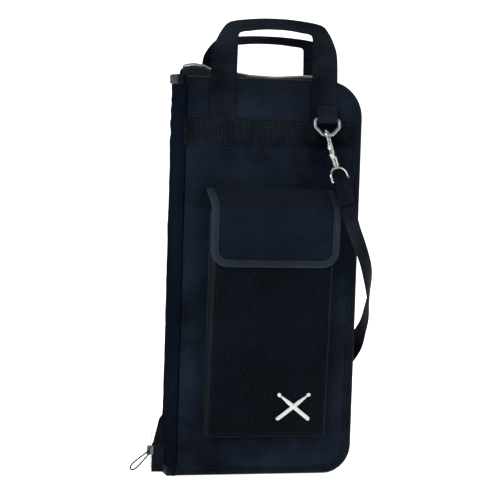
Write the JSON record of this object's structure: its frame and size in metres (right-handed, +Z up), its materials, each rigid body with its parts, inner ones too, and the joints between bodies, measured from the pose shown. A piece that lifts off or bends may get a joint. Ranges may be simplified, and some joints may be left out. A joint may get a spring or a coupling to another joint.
{
  "type": "drum stick bag",
  "caption": "Padded upright bag for drum sticks: book-opening zipped body, front flap pocket, twin webbing handles and a clip-on shoulder strap.",
  "frame": {"origin": "centre of the base, midway between the front and rear halves, where the bag stands", "axes": "+Z up, front pocket towards -Y, spine on the -X side"},
  "size_m": [0.2901, 0.1234, 0.5514],
  "materials": {
    "shell_nylon": "matte woven",
    "edge_binding": "matte ribbed tape",
    "webbing": "matte ribbed",
    "foam": "closed-cell foam",
    "lining": "plain weave",
    "zip_tape": "twill tape",
    "zip_teeth": "moulded coil",
    "nickel": "bright nickel plate",
    "ring_metal": "dull grey plate",
    "slider_metal": "gunmetal",
    "spring_steel": "plain",
    "black_plastic": "moulded",
    "touch_tape": "loop pile",
    "white_thread": "satin stitch"
  },
  "bodies": {
    "back_half": {"back_panel": "shell_nylon", "back_foam": "foam", "back_lining": "lining", "back_edge_binding": "edge_binding", "back_spine_gusset": "shell_nylon", "back_zip_tape": "zip_tape", "back_zip_teeth": "zip_teeth", "back_webbing_band": "webbing", "back_handle_anchors": "webbing", "rear_ring_tab": "webbing", "stick_sleeve": "lining", "sleeve_binding": "edge_binding", "shoulder_strap": "webbing", "strap_adjuster": "black_plastic"},
    "front_cover": {"front_panel": "shell_nylon", "front_foam": "foam", "front_lining": "lining", "front_edge_binding": "edge_binding", "front_spine_gusset": "shell_nylon", "front_zip_tape": "zip_tape", "front_zip_teeth": "zip_teeth", "front_webbing_band": "webbing", "front_handle_anchors": "webbing", "front_ring_tab": "webbing", "pocket": "shell_nylon", "pocket_hem": "edge_binding", "pocket_loop_patch": "touch_tape", "emblem_patch": "white_thread", "inner_pocket": "lining"},
    "pocket_flap": {"flap_panel": "shell_nylon", "flap_binding": "edge_binding", "flap_hook_patch": "touch_tape"},
    "front_grip": {"front_handle": "webbing"},
    "rear_grip": {"rear_handle": "webbing"},
    "zip_tail": {"zip_tail_tape": "zip_tape", "zip_end_tab": "edge_binding", "zip_tail_teeth": "zip_teeth"},
    "slider": {"zip_slider": "slider_metal"},
    "pull": {"zip_pull": "nickel"},
    "front_ring": {"front_d_ring": "ring_metal"},
    "front_hook": {"front_snap_hook": "nickel", "front_bolt_spring": "spring_steel"},
    "front_bolt": {"front_hook_bolt": "nickel"},
    "front_eye": {"front_swivel_eye": "nickel", "front_strap_end": "webbing"},
    "rear_ring": {"rear_d_ring": "ring_metal"},
    "rear_hook": {"rear_snap_hook": "nickel", "rear_bolt_spring": "spring_steel"},
    "rear_bolt": {"rear_hook_bolt": "nickel"},
    "rear_eye": {"rear_swivel_eye": "nickel", "rear_strap_end": "webbing"}
  },
  "joints": [
    {"name": "cover_open", "type": "hinge", "parent": "back_half", "child": "front_cover", "pos_m": [-0.1146, 0, 0], "axis": [0, 0, -1], "range_deg": [0, 130], "deforming": ["shoulder_strap"]},
    {"name": "zip_tail_swing", "type": "hinge", "parent": "back_half", "child": "zip_tail", "pos_m": [-0.1146, 0, 0], "axis": [0, 0, -1], "range_deg": [0, 65]},
    {"name": "zip_slide", "type": "slide", "parent": "zip_tail", "child": "slider", "axis": [0, 0, 1], "range_m": [-0.012, 0.012]},
    {"name": "zip_pull_swing", "type": "hinge", "parent": "slider", "child": "pull", "pos_m": [-0.1337, -0.0042, 0.027], "axis": [-0.682, 0, 0.7314], "range_deg": [0, 22]},
    {"name": "flap_open", "type": "hinge", "parent": "front_cover", "child": "pocket_flap", "pos_m": [0.00011, -0.024, 0.345], "axis": [-0.9986, -0.0526, 0], "range_deg": [0, 55], "deforming": ["flap_panel", "flap_binding"]},
    {"name": "front_handle_fold", "type": "hinge", "parent": "front_cover", "child": "front_grip", "pos_m": [0.00012, -0.0242, 0.4773], "axis": [0.9986, 0.0526, 0], "range_deg": [0, 120], "deforming": ["front_handle_anchors"]},
    {"name": "rear_handle_fold", "type": "hinge", "parent": "back_half", "child": "rear_grip", "pos_m": [0.00012, 0.0242, 0.4773], "axis": [-0.9986, 0.0526, 0], "range_deg": [0, 120], "deforming": ["back_handle_anchors"]},
    {"name": "front_ring_swing", "type": "hinge", "parent": "front_cover", "child": "front_ring", "pos_m": [0.06636, -0.02702, 0.433], "axis": [-0.9986, -0.0526, 0], "range_deg": [-5, 40]},
    {"name": "front_hook_swing", "type": "hinge", "parent": "front_ring", "child": "front_hook", "pos_m": [0.06656, -0.0309, 0.41471], "axis": [-0.9986, -0.0526, 0], "range_deg": [-47.2, 5.9]},
    {"name": "front_bolt_slide", "type": "slide", "parent": "front_hook", "child": "front_bolt", "axis": [0.269, -0.1869, -0.9448], "range_m": [0, 0.006], "stiffness_N_per_m": 150, "deforming": ["front_bolt_spring"]},
    {"name": "front_swivel", "type": "hinge", "parent": "front_hook", "child": "front_eye", "pos_m": [0.06656, -0.0309, 0.41391], "axis": [-0.269, 0.1869, 0.9448], "range_deg": [-15, 15]},
    {"name": "rear_ring_swing", "type": "hinge", "parent": "back_half", "child": "rear_ring", "pos_m": [-0.06546, 0.03396, 0.433], "axis": [0.9986, -0.0526, 0], "range_deg": [-5, 40]},
    {"name": "rear_hook_swing", "type": "hinge", "parent": "rear_ring", "child": "rear_hook", "pos_m": [-0.06526, 0.03784, 0.41471], "axis": [0.9986, -0.0526, 0], "range_deg": [-47.2, 5.9]},
    {"name": "rear_bolt_slide", "type": "slide", "parent": "rear_hook", "child": "rear_bolt", "axis": [-0.2479, 0.2142, -0.9448], "range_m": [0, 0.006], "stiffness_N_per_m": 150, "deforming": ["rear_bolt_spring"]},
    {"name": "rear_swivel", "type": "hinge", "parent": "rear_hook", "child": "rear_eye", "pos_m": [-0.06526, 0.03784, 0.41391], "axis": [0.2479, -0.2142, 0.9448], "range_deg": [-15, 15]}
  ],
  "couplings": [
    {"joint": "zip_tail_swing", "follows": "cover_open", "ratio": 0.5},
    {"joint": "front_hook_swing", "follows": "front_ring_swing", "ratio": -1.18},
    {"joint": "rear_hook_swing", "follows": "rear_ring_swing", "ratio": -1.18}
  ]
}
